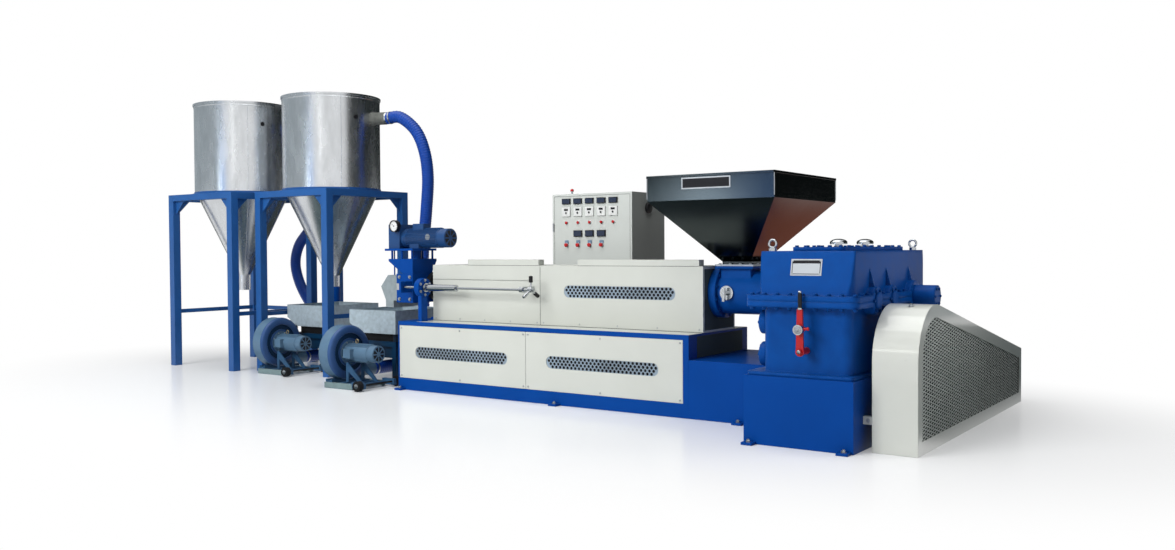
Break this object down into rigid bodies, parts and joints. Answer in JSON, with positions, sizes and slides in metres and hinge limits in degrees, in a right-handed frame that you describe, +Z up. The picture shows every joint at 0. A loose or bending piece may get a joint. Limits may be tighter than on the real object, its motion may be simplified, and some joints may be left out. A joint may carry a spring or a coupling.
{
  "type": "plastic pelletizing line",
  "caption": "Plastic pelletizing line: extruder on a long base with hopper, gearbox and belt guard, die-face cutter, sieves, blowers, conveying hoses and storage silos.",
  "frame": {"origin": "middle of the extruder base's underside", "axes": "+X along the machine from the silos to the belt drive, -Y towards the operator, +Z up"},
  "size_m": [10.065, 3.553, 3.488],
  "materials": {
    "blue_paint": "gloss",
    "cream_paint": "satin",
    "perforated_steel": "satin",
    "dark_steel": "satin",
    "stainless": "satin",
    "chrome": "polished",
    "red_paint": "gloss",
    "black_plastic": "gloss",
    "red_plastic": "gloss",
    "grey_paint": "satin",
    "rubber": "matte",
    "blue_hose": "satin"
  },
  "bodies": {
    "line": {"base_frame": "blue_paint", "base_tail": "blue_paint", "barrel_stand": "blue_paint", "feed_throat": "blue_paint", "gearbox_pedestal": "blue_paint", "gearbox_lower": "blue_paint", "gearbox_upper": "blue_paint", "gearbox_top_cover": "blue_paint", "gearbox_bearing_caps": "blue_paint", "main_motor": "blue_paint", "screen_changer": "blue_paint", "motor_bracket": "blue_paint", "cutter_motor": "blue_paint", "spindle_bearings": "blue_paint", "sieve_1_frame": "blue_paint", "sieve_2_frame": "blue_paint", "blower_1_housing": "blue_paint", "blower_1_motor": "blue_paint", "blower_2_housing": "blue_paint", "blower_2_motor": "blue_paint", "blower_1_stand": "blue_paint", "blower_2_stand": "blue_paint", "silo_1_stand": "blue_paint", "silo_2_stand": "blue_paint", "drop_pipe": "blue_paint", "base_panels": "cream_paint", "barrel_cover_left": "cream_paint", "barrel_cover_right": "cream_paint", "belt_guard": "cream_paint", "guard_mesh": "cream_paint", "vent_screens": "perforated_steel", "barrel": "dark_steel", "drive_pulleys": "dark_steel", "hopper": "stainless", "silo_1_body": "stainless", "silo_1_lid": "stainless", "silo_2_body": "stainless", "silo_2_lid": "stainless", "cutter_hood": "stainless", "sieve_1_tray": "stainless", "sieve_2_tray": "stainless", "throat_cap": "chrome", "gearbox_fittings": "chrome", "pressure_gauge": "chrome", "screen_slide": "chrome", "lever_pivot": "red_paint", "panel_instruments": "black_plastic", "panel_switches": "red_plastic", "control_cabinet": "grey_paint", "drive_belt": "rubber", "hose_1": "blue_hose", "hose_2": "blue_hose"},
    "gear_lever_body": {"gear_lever": "red_paint", "lever_grip": "black_plastic", "lever_knob": "chrome"},
    "spindle_body": {"spindle": "chrome", "spindle_knobs": "black_plastic"},
    "wheels_1_body": {"blower_1_wheels": "rubber"},
    "wheels_2_body": {"blower_2_wheels": "rubber"}
  },
  "joints": [
    {"name": "gear_lever_swing", "type": "hinge", "parent": "line", "child": "gear_lever_body", "pos_m": [3.19, -1.3775, 0.735], "axis": [0, 1, 0], "range_deg": [-25, 25]},
    {"name": "spindle_turn", "type": "hinge", "parent": "line", "child": "spindle_body", "pos_m": [-0.036, -0.49, 1.104], "axis": [1, 0, 0], "continuous": true},
    {"name": "wheels_1_spin", "type": "hinge", "parent": "line", "child": "wheels_1_body", "pos_m": [-3.725, -0.26, 0.058], "axis": [0, 1, 0], "continuous": true},
    {"name": "wheels_2_spin", "type": "hinge", "parent": "line", "child": "wheels_2_body", "pos_m": [-2, -0.69, 0.058], "axis": [0, 1, 0], "continuous": true}
  ]
}
